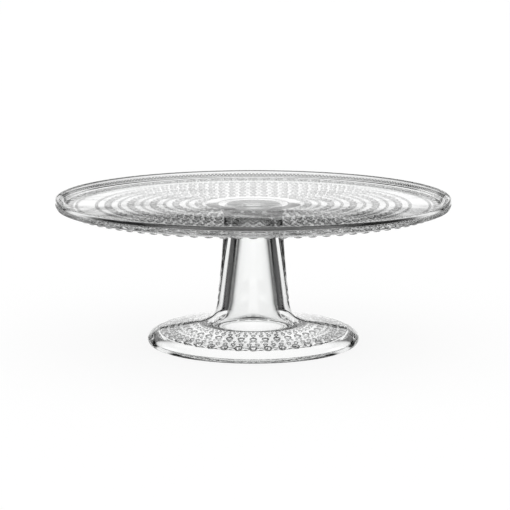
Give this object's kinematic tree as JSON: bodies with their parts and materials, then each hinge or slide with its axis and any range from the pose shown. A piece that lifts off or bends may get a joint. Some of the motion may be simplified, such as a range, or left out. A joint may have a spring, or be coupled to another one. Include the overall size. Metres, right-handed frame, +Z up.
{
  "type": "footed cake stand",
  "caption": "Footed cake stand in clear pressed glass: a round rimmed plate with beaded underside on a waisted hollow stem and round beaded foot.",
  "frame": {"origin": "middle of the circle that the foot stands on, on the table", "axes": "+Z up along the axis of the stem and plate; X and Y are any two level directions, because the stand is round"},
  "size_m": [0.315, 0.315, 0.1185],
  "materials": {
    "pressed_glass": "polished",
    "clear_adhesive": "clear"
  },
  "bodies": {
    "root": {"plate": "pressed_glass", "adhesive_disc": "clear_adhesive", "pedestal": "pressed_glass"}
  },
  "joints": []
}
